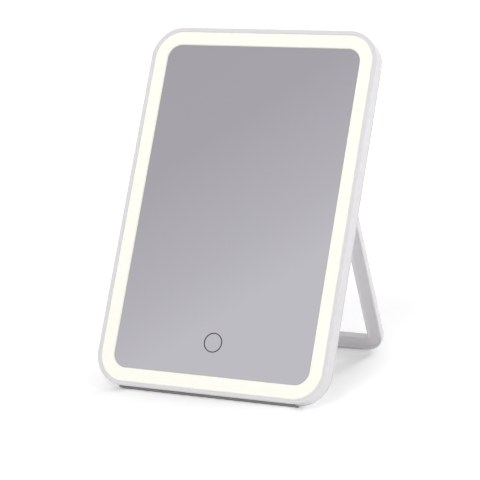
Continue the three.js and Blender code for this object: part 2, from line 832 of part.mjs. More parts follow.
function usbSocket() {
  const mouth = -headWidth / 2 + socketMouthSetback;
  const outline = (wall) => rounded(socketThickness - 2 * wall, socketWidth - 2 * wall,
    socketThickness / 2 - wall - 0.01, portDepth, portHeight);
  const shell = solid(bar(outline(0), mouth, mouth + socketLength));
  const hollow = solid(bar(outline(socketWall), mouth - past, mouth + socketLength - socketBack));
  const [thin, wide] = [contactTongueThickness / 2, contactTongueWidth / 2];
  const tongue = block(mouth + contactTongueSetback, mouth + socketLength - socketBack / 2,
    portDepth - thin, portDepth + thin, portHeight - wide, portHeight + wide);
  return shell.subtract(hollow).add(solid(tongue));
}

function switchBody() {
  const from = -headWidth / 2 + chargeInset;
  const [front, back] = [portDepth - socketThickness / 2, portDepth + socketThickness / 2];
  const half = switchBodyLength / 2;
  const slotHalf = (knobStemLength + switchTravel) / 2 + seatGap;
  const slotBreadth = knobStemBreadth / 2 + seatGap;
  const body = block(from, from + switchBodyDepth, front, back, switchHeight - half, switchHeight + half);
  const slot = block(from - past, from + switchSlotDepth, portDepth - slotBreadth, portDepth + slotBreadth,
    switchHeight - slotHalf, switchHeight + slotHalf);
  return solid(body).subtract(solid(slot));
}

// The knob rests at the upper, switched-on end of its slot
function switchKnob() {
  const side = -headWidth / 2 + knobSetback;
  const z = switchHeight + switchTravel / 2;
  const cap = bar(rounded(knobBreadth, knobLength, knobCorner, portDepth, z), side, side + knobThickness);
  const stemEnd = -headWidth / 2 + chargeInset + switchSlotDepth - stemEndGap;
  const stem = block(side + knobThickness / 2, stemEnd, portDepth - knobStemBreadth / 2,
    portDepth + knobStemBreadth / 2, z - knobStemLength / 2, z + knobStemLength / 2);
  let knob = joined(cap, stem);
  for (let groove = 0; groove < knobGrooves; groove++) {
    const at = z + (groove - (knobGrooves - 1) / 2) * knobGroovePitch;
    const [low, high] = [at - knobGrooveWidth / 2, at + knobGrooveWidth / 2];
    knob = knob.subtract(solid(block(side - past, side + knobGrooveDepth, 0, headDepth, low, high)));
  }
  return knob;
}

function batteryCell() {
  const centreZ = batteryBottom + batteryHeight / 2;
  const back = coverInside - 2 * bondGap - batteryPadThickness;
  const front = back - batteryThickness;
  const edge = batteryEdge;
  const outline = { width: batteryWidth, height: batteryHeight, radius: batteryCorner, centreZ };
  return carried([
    ...arc(edge, front + edge, edge, 270, 180, 2),
    ...arc(edge, back - edge, edge, 180, 90, 2),
  ], false, outline);
}

function batteryPad() {
  const back = coverInside - bondGap;
  const width = batteryWidth - 2 * batteryPadInset;
  const height = batteryHeight - 2 * batteryPadInset;
  const shape = rounded(width, height, batteryPadCorner, 0, batteryBottom + batteryHeight / 2);
  return slab(shape, back - batteryPadThickness, back);
}

// A lead is a round tube through points chosen by hand, as [x, y, z]. The two that run sideways pass in front
// of the stand's recess, in the thin space behind the tray, and are placed from the recess's outer wall.
const leadHole = [headWidth / 2 - leadHoleInset, leadHoleHeight];
const wall = recessSide;
const batteryLeadPoints = [[-6, 9.5, 81.7], [-7, 10, 76], [-4, 10.6, 67], [-2, 10.3, 60.3]];
const chargeLeadPoints = [
  [-wall - 3, 9.8, 47], [-wall - 1.6, 9.2, 47], [-wall - 1.2, 7.6, 47], [-wall - 0.6, 6.4, 46.8],
  [-wall + 0.6, 6.1, 46.6], [-wall + 3.2, 6.08, 46.4], [-wall + 15.2, 6.1, 45.5], [-wall + 32.2, 7.2, 45],
  [-30, 10, 44.3], [-25.5, 10.8, 44], [-20.4, 10.4, 44],
];
const lightLeadPoints = [
  [20.4, 10.4, 43], [25.5, 10.8, 43], [30, 10, 43], [wall - 32.2, 7.2, 42.5], [wall - 15.2, 6.1, 42],
  [wall - 3.2, 6.08, 42], [wall - 0.6, 6.1, 42], [wall + 0.7, 6.5, 42], [wall + 1.8, 7.4, 42],
  [wall + 5.2, 7.5, 42], [leadHole[0], 6, leadHole[1]], [leadHole[0] + 1.4, 4.6, 42],
  [leadHole[0] + 7.1, 4.3, 42],
];

function lead(points) {
  const path = new THREE.CatmullRomCurve3(points.map((p) => new THREE.Vector3(...p)), false, 'chordal');
  const section = new THREE.Shape().absarc(0, 0, leadRadius, 0, 2 * Math.PI);
  const steps = leadStepsPerPoint * (points.length - 1);
  const settings = { steps, curveSegments: leadSides / 2, extrudePath: path, bevelEnabled: false };
  return new THREE.ExtrudeGeometry(section, settings);
}

// The parts of the head
piece('front_frame', frontFrame(), housingWhite);
piece('light_band', litBand(), opalAcrylic);
piece('mirror_glass', mirrorGlass(), silverGlass);
piece('touch_ring', touchRing(), greyInk);
piece('mirror_tape', tapeFrame(), foamTape);
piece('light_tray', lightTray(), trayWhite);
placeStrips();
piece('touch_electrode', depthRod(electrodeRadius, tapeFront, tapeFront + electrodeThickness, 0, touchHeight),
  copperFoil);
piece('touch_foam_plug', depthRod(foamPlugRadius, tapeFront + electrodeThickness + bondGap,
  controlFront - bondGap, 0, touchHeight), conductiveFoam);
piece('control_board', controlBoard(), boardGreen);
piece('charge_board', chargeBoard(), boardGreen);
piece('usb_socket', usbSocket(), plainSteel);
piece('switch_body', switchBody(), blackPlastic);
piece('switch_knob', switchKnob(), housingWhite);
piece('battery_cell', batteryCell(), batterySilver);
piece('battery_pad', batteryPad(), foamTape);
for (const place of boardScrewPlaces()) piece(place.name, boardScrew(place), plainSteel);
piece('battery_lead', lead(batteryLeadPoints), redLead);
piece('charge_lead', lead(chargeLeadPoints), redLead);
piece('light_lead', lead(lightLeadPoints), redLead);
piece('back_cover', backCover(), housingWhite);
coverScrewPlaces().forEach(([x, z], i) => piece(`cover_screw_${i + 1}`, coverScrew(x, z), plainSteel));
placeHinge();

const stripMiddle = baseStripFront + baseStripBreadth / 2;
const stripPlan = rounded(baseStripLength, baseStripBreadth, baseStripCorner, 0, stripMiddle);
piece('base_strip', new THREE.ExtrudeGeometry(stripPlan, { depth: baseStripProud, bevelEnabled: false })
  .translate(0, 0, -baseStripProud), greyRubber);

// The stand turns about its hinge line
const stand = new THREE.Group();
stand.position.set(0, pivotDepth, hingeHeight);
stand.rotation.x = openAngle;
head.add(stand);
piece('stand_frame', standFrame(), standWhite, stand);
piece('stand_foot_strip', footStrip(), paleRubber, stand);

// The head leans back until the base strip's rear edge and the foot strip's front edge are level
const baseContact = new THREE.Vector2(baseStripFront + baseStripBreadth, -baseStripProud);
const footReach = legLength + footStripProud;
const footOffset = -standThickness / 2 + footStripFront;
const footContact = new THREE.Vector2(
  pivotDepth + footOffset * Math.cos(openAngle) + footReach * Math.sin(openAngle),
  hingeHeight + footOffset * Math.sin(openAngle) - footReach * Math.cos(openAngle));
const span = footContact.clone().sub(baseContact);
const lean = Math.atan2(span.y, span.x);
head.rotation.x = -lean;
head.position.z = baseContact.x * Math.sin(lean) - baseContact.y * Math.cos(lean);

// The origin is the middle of the footprint, on the table
const mirror = new THREE.Group();
mirror.add(head);
mirror.updateMatrixWorld(true);
const extent = new THREE.Box3().setFromObject(mirror, true);
head.position.y = -(extent.min.y + extent.max.y) / 2;

export default mirror;
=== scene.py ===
import json
import math

import bmesh
import bpy
import numpy as np
from mathutils import Matrix


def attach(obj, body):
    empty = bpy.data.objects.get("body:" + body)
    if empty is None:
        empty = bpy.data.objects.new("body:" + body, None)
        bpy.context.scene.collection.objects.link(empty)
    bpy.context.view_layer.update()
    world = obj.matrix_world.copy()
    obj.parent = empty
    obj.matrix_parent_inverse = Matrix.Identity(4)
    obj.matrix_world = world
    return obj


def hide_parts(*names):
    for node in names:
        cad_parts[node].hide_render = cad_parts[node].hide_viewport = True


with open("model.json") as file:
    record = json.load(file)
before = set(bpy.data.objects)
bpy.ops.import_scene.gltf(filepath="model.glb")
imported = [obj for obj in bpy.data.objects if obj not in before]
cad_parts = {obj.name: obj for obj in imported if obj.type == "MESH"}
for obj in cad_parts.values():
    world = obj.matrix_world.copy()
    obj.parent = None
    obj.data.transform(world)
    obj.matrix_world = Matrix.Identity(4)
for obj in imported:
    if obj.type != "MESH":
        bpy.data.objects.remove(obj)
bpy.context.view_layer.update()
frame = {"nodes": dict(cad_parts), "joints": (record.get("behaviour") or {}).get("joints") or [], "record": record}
nodes = frame["nodes"]
print("frame: loaded", len(nodes), "nodes")


# Where the head and the stand are

# Sizes of the mirror in millimetres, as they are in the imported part
mirror = {
    "width": 190, "height": 284, "depth": 14.4, "corner": 25,
    "hingeDepth": 11.3, "hingeHeight": 192, "split": 11.1,
}
mm = 0.001
past = 1  # millimetres by which a cutter reaches beyond what it cuts
arcSteps = 6  # on a rounding, where its line gives no other number
cornerSteps = 24  # on each corner of the head's outline
rodSides = 32
mergeWithin = 0.0005  # millimetres, for doubled points left by a cut
sharpFrom = math.radians(32)  # the angle between faces from which an edge stays crisp

# The power slide runs straight up the head, and the stand turns about the line across the back
joints = {joint["name"]: joint for joint in frame["joints"]}
headUp = np.array(joints["power_slide"]["axis"], float)
headBack = np.cross(headUp, (1.0, 0.0, 0.0))
hingePoint = np.array(joints["stand_hinge"]["pos_m"], float)
openAngle = math.radians(-joints["stand_hinge"]["range_deg"][0])
leanAngle = math.atan2(headUp[1], headUp[2])


def placement(origin, up, back):
    # Takes millimetres across, back and up a body to metres in the frame
    columns = np.column_stack([(mm, 0, 0), mm * back, mm * up])
    matrix = np.eye(4)
    matrix[:3, :3] = columns
    matrix[:3, 3] = origin
    return Matrix(matrix.tolist())


headOrigin = hingePoint - mm * (mirror["hingeDepth"] * headBack + mirror["hingeHeight"] * headUp)
inHead = placement(headOrigin, headUp, headBack)
standUp = math.cos(openAngle) * headUp - math.sin(openAngle) * headBack
standBack = math.cos(openAngle) * headBack + math.sin(openAngle) * headUp
inStand = placement(hingePoint, standUp, standBack)


# Surfaces

def arcPoints(centreA, centreB, radius, start, stop, steps=arcSteps):
    # Points on an arc: centre plus radius times (cos, sin) of an angle in degrees
    angle = np.radians(np.linspace(start, stop, steps + 1))
    return np.column_stack([centreA + radius * np.cos(angle), centreB + radius * np.sin(angle)])


def path(*parts):
    return np.vstack([np.atleast_2d(np.array(part, float)) for part in parts])


def meshPiece(name, vertices, faces):
    mesh = bpy.data.meshes.new(name)
    mesh.from_pydata(vertices.reshape(-1, 3).tolist(), [], faces)
    piece = bpy.data.objects.new(name, mesh)
    bpy.context.scene.collection.objects.link(piece)
    turnOutwards(mesh)
    return piece


def turnOutwards(mesh):
    work = bmesh.new()
    work.from_mesh(mesh)
    if work.calc_volume(signed=True) < 0:
        bmesh.ops.reverse_faces(work, faces=work.faces)
    work.to_mesh(mesh)
    work.free()


def loftFaces(levels, count, closed):
    # Quads between each ring of points and the next; the two end rings are capped unless the loft closes
    level = np.arange(levels if closed else levels - 1)[:, None]
    point = np.arange(count)[None, :]
    after = (level + 1) % levels
    beside = (point + 1) % count
    quads = np.stack([
        level * count + point, level * count + beside, after * count + beside, after * count + point,
    ], -1).reshape(-1, 4).tolist()
    if closed:
        return quads
    last = (levels - 1) * count
    return quads + [list(range(count - 1, -1, -1)), list(range(last, last + count))]


def fourCorners(steps):
    # Angles round the four corners of an outline, and each corner's side of the middle
    angle = np.radians(np.concatenate([np.linspace(0, 90, steps + 1) + start for start in (-90, 0, 90, 180)]))
    return angle, np.repeat([1, 1, -1, -1], steps + 1), np.repeat([-1, 1, 1, -1], steps + 1)


def carried(name, profile, closed):
    # Each profile point (inset, depth) runs round a rounded rectangle:
    # corner centre plus (corner radius less inset) times (cos, sin) of the angle round the outline
    angle, signX, signZ = fourCorners(cornerSteps)
    inset, depth = profile[:, :1], profile[:, 1:]
    radius = mirror["corner"] - inset
    x = signX * (mirror["width"] / 2 - mirror["corner"]) + radius * np.cos(angle)
    z = mirror["height"] / 2 + signZ * (mirror["height"] / 2 - mirror["corner"]) + radius * np.sin(angle)
    vertices = np.stack([x, depth + 0 * x, z], -1)
    return meshPiece(name, vertices, loftFaces(len(profile), len(angle), closed))


def revolved(name, profile, centre, axis, sides=rodSides):
    # Each profile point (radius, distance along the axis) turns about the axis through the centre
    angle = np.radians(np.arange(sides) * 360 / sides)
    radius, along = profile[:, :1], profile[:, 1:]
    first, second, third = radius * np.cos(angle), radius * np.sin(angle), along + 0 * angle
    order = {"x": (third, first, second), "y": (first, third, second)}[axis]
    vertices = np.stack(order, -1) + np.array(centre, float)
    return meshPiece(name, vertices, loftFaces(len(profile), sides, False))


def boxPiece(name, low, high):
    # The eight corners of a box, as two rings of four
    low, high = np.array(low, float), np.array(high, float)
    pick = np.array([[(0, 0), (1, 0), (1, 1), (0, 1)]] * 2)
    x = np.where(pick[..., 0] == 0, low[0], high[0])
    z = np.where(pick[..., 1] == 0, low[2], high[2])
    y = np.array([[low[1]] * 4, [high[1]] * 4])
    return meshPiece(name, np.stack([x, y, z], -1), loftFaces(2, 4, False))


def rod(name, radius, start, stop, centre, axis):
    # A circle of one radius, from start to stop along the axis
    return revolved(name, path((radius, start), (radius, stop)), centre, axis)


def carve(body, tools, operation="DIFFERENCE"):
    for tool in tools:
        change = body.modifiers.new("carve", "BOOLEAN")
        change.operation = operation
        change.solver = "EXACT"
        change.object = tool
    graph = bpy.context.evaluated_depsgraph_get()
    shaped = bpy.data.meshes.new_from_object(body.evaluated_get(graph))
    body.modifiers.clear()
    body.data = shaped
    for tool in tools:
        bpy.data.objects.remove(tool)


def finishPiece(piece, matrix, body, replaced, material):
    # Puts a piece in its place, with smooth shading, and takes over from the solids that it stands for
    mesh = piece.data
    work = bmesh.new()
    work.from_mesh(mesh)
    bmesh.ops.remove_doubles(work, verts=work.verts, dist=mergeWithin)
    bmesh.ops.dissolve_degenerate(work, edges=work.edges, dist=mergeWithin)
    work.to_mesh(mesh)
    work.free()
    mesh.transform(matrix)
    turnOutwards(mesh)
    mesh.shade_smooth()
    mesh.set_sharp_from_angle(angle=sharpFrom)
    even = piece.modifiers.new("even", "WEIGHTED_NORMAL")
    even.keep_sharp = True
    mesh.materials.clear()
    mesh.materials.append(material)
    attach(piece, body)
    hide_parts(*replaced)
    print("piece:", piece.name, len(mesh.polygons), "faces")


# Shader maths

class Wire:
    # A socket that adds its own Math nodes when it is used in an expression

    def __init__(self, graph, socket):
        self.graph = graph
        self.socket = socket

    def maths(self, operation, first, second):
        return self.graph.add("ShaderNodeMath", {"operation": operation}, {0: first, 1: second})

    def __abs__(self):
        return self.maths("ABSOLUTE", self, 0)

    def __add__(self, other):
        return self.maths("ADD", self, other)

    __radd__ = __add__

    def __mul__(self, other):
        return self.maths("MULTIPLY", self, other)

    __rmul__ = __mul__

    def __sub__(self, other):
        return self.maths("SUBTRACT", self, other)

    def __rsub__(self, other):
        return self.maths("SUBTRACT", other, self)

    def __truediv__(self, other):
        return self.maths("DIVIDE", self, other)

    def __rtruediv__(self, other):
        return self.maths("DIVIDE", other, self)


class Graph:
    # A node tree with one method that adds a node of any kind

    def __init__(self, tree):
        self.tree = tree

    def add(self, kind, settings=None, sockets=None, output=0):
        node = self.tree.nodes.new(kind)
        for setting, value in (settings or {}).items():
            if setting == "stops":
                self.setStops(node.color_ramp, value)
            else:
                setattr(node, setting, value)
        for key, value in (sockets or {}).items():
            if isinstance(value, Wire):
                self.tree.links.new(value.socket, node.inputs[key])
            else:
                node.inputs[key].default_value = value
        return Wire(self, node.outputs[output]) if len(node.outputs) else None

    def setStops(self, ramp, stops):
        while len(ramp.elements) < len(stops):
            ramp.elements.new(0.5)
        for element, (place, colour) in zip(ramp.elements, stops):
            element.position = place
            element.color = colour


class Finish(Graph):
    # A material with one principled shader, whose constants are set on its own sockets

    def __init__(self, name, **constants):
        self.material = bpy.data.materials.new(name)
        self.material.use_nodes = True
        super().__init__(self.material.node_tree)
        self.skin = self.tree.nodes["Principled BSDF"]
        for socketName, value in constants.items():
            self.skin.inputs[socketName.replace("_", " ")].default_value = value

    def wear(self, socketName, wire):
        self.tree.links.new(wire.socket, self.skin.inputs[socketName])

    def place(self):
        # Object coordinates turned upright, so that patterns run across, into and up the head
        where = self.add("ShaderNodeTexCoord", output="Object")
        return self.add("ShaderNodeMapping", None, {"Vector": where, "Rotation": (leanAngle, 0, 0)})

    def noise(self, perMetre, detail=3, roughness=0.5, spot=None):
        spot = spot or self.place()
        return self.add("ShaderNodeTexNoise", {}, {
            "Vector": spot, "Scale": perMetre, "Detail": detail, "Roughness": roughness,
        })

    def mixColours(self, factor, first, second):
        return self.add("ShaderNodeMix", {"data_type": "RGBA"}, {0: factor, 6: first, 7: second}, output=2)

    def bump(self, height, distance, strength=0.5):
        self.wear("Normal", self.add("ShaderNodeBump", {}, {
            "Height": height, "Distance": distance, "Strength": strength,
        }))


def shade(colour, factor):
    return tuple(min(1, channel * factor) for channel in colour[:3]) + (1,)


# Finishes

# Scales are in waves to a metre and depths in metres
moulding = {
    "cloud": 38, "spread": 0.015, "gloss": 210, "glossSpread": 0.08, "grain": 2600, "deep": 0.00001, "strength": 0.35,
}


def mouldedPlastic(name, colour, roughness, grain=moulding["grain"]):
    # Spark-eroded grain, a faint cloudiness in the colour, and gloss that varies a little
    finish = Finish(name, IOR=1.49)
    cloud, spread = finish.noise(moulding["cloud"], 2), moulding["spread"]
    finish.wear("Base Color", finish.mixColours(cloud, shade(colour, 1 - spread), shade(colour, 1 + spread)))
    finish.wear("Roughness", roughness + moulding["glossSpread"] * (finish.noise(moulding["gloss"], 3) - 0.5))
    finish.bump(finish.noise(grain, 4, 0.6), moulding["deep"], moulding["strength"])
    return finish.material


whites = {"housing": (0.735, 0.721, 0.737, 1), "stand": (0.76, 0.745, 0.765, 1)}
housingWhite = mouldedPlastic("housingWhite", whites["housing"], 0.42)
standWhite = mouldedPlastic("standWhite", whites["stand"], 0.45)


def opalAcrylic():
    # Lit from behind: about half of the tone is glow and the rest is the white of the acrylic
    glow = {
        "colour": (0.99, 0.98, 0.89, 1), "share": 0.5, "ripple": 0.012, "cloud": 95, "gloss": 400, "grain": 1800,
        "deep": 0.000008, "strength": 0.2,
    }
    finish = Finish("opalAcrylic", IOR=1.49, Emission_Strength=1.0)
    cloud = finish.noise(glow["cloud"], 1)
    low = shade(glow["colour"], glow["share"] * (1 - glow["ripple"]))
    high = shade(glow["colour"], glow["share"] * (1 + glow["ripple"]))
    finish.wear("Emission Color", finish.mixColours(cloud, low, high))
    finish.wear("Base Color", finish.mixColours(cloud, high, low))
    finish.wear("Roughness", 0.36 + 0.1 * finish.noise(glow["gloss"], 2))
    finish.bump(finish.noise(glow["grain"], 2), glow["deep"], glow["strength"])
    return finish.material


def silveredGlass():
    # Painted reflection: the base colour darkens towards the upper left corner, standing in for the graded light that
    # the mirror shows, and the silvering has a faint long waviness
    silver = {
        "reflectionTones": [(0.1, 0.369), (0.42, 0.381), (0.7, 0.458), (0.84, 0.515)], "tint": (1, 0.9755, 1.058, 1),
        "across": 0.5, "span": 1.4, "haze": 30, "wave": 14, "deep": 0.00001, "strength": 0.05,
    }
    finish = Finish("silveredGlass", Metallic=1.0, IOR=1.52, Coat_IOR=1.52, Coat_Roughness=0.02)
    spot = finish.place()
    across = finish.add("ShaderNodeSeparateXYZ", {}, {0: spot}, output="X")
    up = finish.add("ShaderNodeSeparateXYZ", {}, {0: spot}, output="Z")
    # The painted reflection's tone at each spot, from its place across and up the glass
    slope = silver["across"] * (across / (mirror["width"] * mm) + 0.5) + (1 - up / (mirror["height"] * mm))
    stops = [(place, shade(silver["tint"], tone)) for place, tone in silver["reflectionTones"]]
    finish.wear("Base Color", finish.add("ShaderNodeValToRGB", {"stops": stops}, {0: slope / silver["span"]}))
    finish.wear("Roughness", 0.03 + 0.03 * finish.noise(silver["haze"], 2))
    finish.bump(finish.noise(silver["wave"], 1), silver["deep"], silver["strength"])
    return finish.material


matt = {
    "mottle": 600, "dark": 0.86, "light": 1.12, "gloss": 900, "glossSpread": 0.1, "grain": 3200, "deep": 0.00003,
}


def rubber(name, colour, roughness, grain=matt["grain"]):
    # A dull skin, mottled a little, with a fine grain
    finish = Finish(name, Specular_IOR_Level=0.3)
    mottle = finish.noise(matt["mottle"], 3)
    finish.wear("Base Color", finish.mixColours(mottle, shade(colour, matt["dark"]), shade(colour, matt["light"])))
    finish.wear("Roughness", roughness + matt["glossSpread"] * (finish.noise(matt["gloss"], 2) - 0.5))
    finish.bump(finish.noise(grain, 4), matt["deep"])
    return finish.material


plating = {
    "grain": 5200, "stretch": 0.1, "dark": 0.86, "light": 1.1, "glossSpread": 0.18, "deep": 0.000006, "strength": 0.4,
}


def platedMetal(name, colour, roughness, brushed=False):
    # Fine grain, drawn out across the piece where the metal is brushed
    finish = Finish(name, Metallic=1.0)
    where = finish.add("ShaderNodeTexCoord", output="Object")
    stretch = (plating["stretch"], 1, 1) if brushed else (1, 1, 1)
    spot = finish.add("ShaderNodeMapping", None, {"Vector": where, "Scale": stretch})
    grain = finish.noise(plating["grain"], 4, 0.6, spot)
    finish.wear("Base Color", finish.mixColours(
        grain, shade(colour, plating["dark"]), shade(colour, plating["light"])))
    finish.wear("Roughness", roughness + plating["glossSpread"] * (grain - 0.5))
    finish.bump(grain, plating["deep"], plating["strength"])
    return finish.material


def circuitBoard():
    # Solder mask over copper tracks, with darker patches
    mask = {
        "field": (0.015, 0.13, 0.06, 1), "otherField": (0.018, 0.16, 0.075, 1), "track": (0.05, 0.26, 0.12, 1),
        "patch": (0.012, 0.1, 0.05, 1), "tracks": 420.0, "trackWidth": 0.08, "patches": 90, "gloss": 700,
        "grain": 1500, "deep": 0.00002, "strength": 0.4,
    }
    finish = Finish("circuitBoard", IOR=1.5)
    tracks = finish.add("ShaderNodeTexBrick", {}, {
        "Vector": finish.place(), "Scale": mask["tracks"], "Mortar Size": mask["trackWidth"],
        "Color1": mask["field"], "Color2": mask["otherField"], "Mortar": mask["track"],
    })
    patches = finish.noise(mask["patches"], 2) * 0.4
    finish.wear("Base Color", finish.mixColours(patches, tracks, mask["patch"]))
    finish.wear("Roughness", 0.3 + 0.15 * finish.noise(mask["gloss"], 2))
    finish.bump(finish.noise(mask["grain"], 2), mask["deep"], mask["strength"])
    return finish.material


def pouchFoil():
    # Crumpled foil: creases lie along the edges between cells
    foil = {
        "dark": (0.42, 0.43, 0.45, 1), "light": (0.62, 0.63, 0.65, 1), "mottle": 140, "gloss": 260,
        "creases": 130.0, "deep": 0.0002, "strength": 0.25,
    }
    finish = Finish("batteryFoil", Metallic=0.7)
    creases = finish.add("ShaderNodeTexVoronoi", {"feature": "DISTANCE_TO_EDGE"}, {
        "Vector": finish.place(), "Scale": foil["creases"],
    })
    finish.wear("Base Color", finish.mixColours(finish.noise(foil["mottle"], 3), foil["dark"], foil["light"]))
    finish.wear("Roughness", 0.3 + 0.2 * finish.noise(foil["gloss"], 2))
    finish.bump(creases, foil["deep"], foil["strength"])
    return finish.material


finishes = {
    "housing_white": housingWhite,
    "stand_white": standWhite,
    "opal_acrylic": opalAcrylic(),
    "silvered_glass": silveredGlass(),
    "grey_ink": rubber("greyInk", (0.06, 0.058, 0.06, 1), 0.6, 4000),
    "foam_tape": rubber("foamTape", (0.04, 0.04, 0.045, 1), 0.9, 1600),
    "tray_white": mouldedPlastic("trayWhite", (0.86, 0.86, 0.85, 1), 0.35),
    "light_strip": mouldedPlastic("lightStrip", (0.85, 0.81, 0.68, 1), 0.4, 1500),
    "copper_foil": platedMetal("copperFoil", (0.72, 0.40, 0.22, 1), 0.32, True),
    "conductive_foam": rubber("conductiveFoam", (0.03, 0.03, 0.035, 1), 0.9, 1400),
    "circuit_board": circuitBoard(),
    "plated_steel": platedMetal("platedSteel", (0.60, 0.61, 0.62, 1), 0.3),
    "black_plastic": mouldedPlastic("blackPlastic", (0.02, 0.02, 0.022, 1), 0.4),
    "battery_foil": pouchFoil(),
    "nylon": mouldedPlastic("nylon", (0.72, 0.70, 0.66, 1), 0.5, 1800),
    # The base strip's dark grey is partly painted shade: it darkens the line along the head's bottom edge, whose
    # underside lies in shade there
    "grey_rubber": rubber("greyRubberAndShade", (0.24, 0.232, 0.24, 1), 0.6),
    "pale_rubber": rubber("paleRubber", (0.66, 0.65, 0.66, 1), 0.7),
    "lead_red": rubber("leadInsulation", (0.48, 0.05, 0.04, 1), 0.45, 2400),
}
for part in frame["record"]["subparts"]:
    shell = nodes[part["node"]].data
    shell.materials.clear()
    shell.materials.append(finishes[part["material_slot"]])
print("finishes:", len(finishes))


# Openings in the left side, for the charging socket and the slide switch. Each has its height up the head,
# breadth, length, corner radius and depth.

side = {
    "centreDepth": 8.6, "cornerSteps": 8,
    "port": (42, 3.9, 9.6, 1.94, 4), "pocket": (64, 3.6, 7.9, 1, 1.1), "slot": (64, 1.6, 5.3, 0.5, 4),
}


def sideCutter(name, height, across, long, corner, deep):
    # A rounded slot on the left side, from outside the wall to its depth: corner centre plus the corner's
    # radius times (cos, sin) of the angle round the outline
    angle, signY, signZ = fourCorners(side["cornerSteps"])
    y = side["centreDepth"] + signY * (across / 2 - corner) + corner * np.cos(angle)
    z = height + signZ * (long / 2 - corner) + corner * np.sin(angle)
    x = np.array([[-past], [deep]]) - mirror["width"] / 2
    vertices = np.stack([x + 0 * y, y + 0 * x, z + 0 * x], -1)
    return meshPiece(name, vertices, loftFaces(2, len(angle), False))


def sideCutters():
    return [sideCutter(f"{name}Cut", *side[name]) for name in ("port", "pocket", "slot")]


# Front frame: the rim and the side wall

rim = {
    "edge": 0.8, "width": 3.3, "lip": 0.3, "thickness": 1.5, "wall": 1.8, "rebateDepth": 1.8, "rebateWall": 1,
    "seamRound": 0.15, "grooveHalf": 73.3, "grooveFrom": 2.2, "grooveDeep": 0.3,
}


def makeFrontFrame():
    split, edge, seam = mirror["split"], rim["edge"], rim["seamRound"]
    profile = path(
        arcPoints(seam, split - seam, seam, 90, 180, 3),
        arcPoints(edge, edge, edge, 180, 270, 8),
        arcPoints(rim["width"] - rim["lip"], rim["lip"], rim["lip"], 270, 360, 4),
        (rim["width"], rim["thickness"]),
        (rim["wall"], rim["thickness"]),
        (rim["wall"], split - rim["rebateDepth"]),
        (rim["rebateWall"], split - rim["rebateDepth"]),
        (rim["rebateWall"], split),
    )
    piece = carried("frontFrameShell", profile, True)
    groove = boxPiece("grooveCut", (-rim["grooveHalf"], rim["grooveFrom"], -past),
                      (rim["grooveHalf"], mirror["depth"], rim["grooveDeep"]))
    carve(piece, sideCutters() + [groove])
    finishPiece(piece, inHead, "head", ["front_frame"], housingWhite)


makeFrontFrame()


# Lit band

band = {
    "outer": 3.6, "inner": 13.5, "front": 0.2, "back": 2.8, "crown": 0.4, "flange": 2.1, "flangeFront": 1.8,
    "skirtFront": 1.3, "skirt": 0.24, "lip": 0.25,
}


def makeLightBand():
    crown, lip = band["crown"], band["lip"]
    profile = path(
        arcPoints(band["outer"] + lip, band["front"] + lip, lip, 180, 270, 4),
        arcPoints(band["inner"] - crown, band["front"] + crown, crown, 270, 360),
        (band["inner"], band["skirtFront"]),
        (band["inner"] + band["skirt"], band["skirtFront"] + band["skirt"]),
        (band["inner"] + band["skirt"], band["back"]),
        (band["flange"], band["back"]),
        (band["flange"], band["flangeFront"]),
        (band["outer"], band["flangeFront"]),
    )
    piece = carried("lightBandFrame", profile, True)
    finishPiece(piece, inHead, "head", ["light_band"], finishes["opal_acrylic"])


makeLightBand()


# Outline of the stand, about its hinge line

stand = {
    "width": 151, "leg": 12, "thick": 6.2, "outerRadius": 14.5, "innerRadius": 3.5, "edge": 0.8,
    "length": 185.5, "heel": 5.5, "channelLip": 0.85, "channelDeep": 1.5, "channelTop": -14, "channelFillet": 0.4,
    "cornerSteps": 14, "bore": 1.5, "boreReach": 5, "reliefDeep": 0.7, "reliefReach": 9, "knuckle": 8,
    "grooveHalf": 59.3, "grooveFrom": -2.1, "grooveTo": 0.9, "grooveDeep": 1,
}


def standRing(top, footRoom):
    # Base points and outward directions of the U: a point grown by g is base plus g times direction
    half, leg, length = stand["width"] / 2, stand["leg"], stand["length"]
    outer, inner, steps = stand["outerRadius"], stand["innerRadius"], stand["cornerSteps"]
    innerX, innerZ = half - leg - inner, -length + leg + inner
    low = -length - footRoom + outer

    def corner(centreX, centreZ, radius, start, stop, outward):
        angle = np.radians(np.linspace(start, stop, steps + 1))
        direction = np.column_stack([np.cos(angle), np.sin(angle)])
        return np.array([centreX, centreZ]) + radius * direction, outward * direction

    runs = [
        (np.array([[-half, top]]), np.array([[-1.0, 1.0]])),
        corner(-half + outer, low, outer, 180, 270, 1),
        corner(half - outer, low, outer, 270, 360, 1),
        (np.array([[half, top]]), np.array([[1.0, 1.0]])),
        (np.array([[half - leg, top]]), np.array([[-1.0, 1.0]])),
        corner(innerX, innerZ, inner, 0, -90, -1),
        corner(-innerX, innerZ, inner, 270, 180, -1),
        (np.array([[-half + leg, top]]), np.array([[1.0, 1.0]])),
    ]
    return np.vstack([run[0] for run in runs]), np.vstack([run[1] for run in runs])


def standLoft(name, levels, top, shift=(0, 0, 0), footRoom=0):
    # Each level (growth, depth) is the U grown by that much at that depth
    base, outward = standRing(top, footRoom)
    growth, depth = levels[:, :1, None], levels[:, 1:]
    ring = base[None] + growth * outward[None]
    vertices = np.stack([ring[..., 0], depth + 0 * ring[..., 0], ring[..., 1]], -1) + np.array(shift, float)
    return meshPiece(name, vertices, loftFaces(len(levels), len(base), False))


# Stand: a U of flat bar with rounded edges, and a channel with sloping walls on the face towards the head

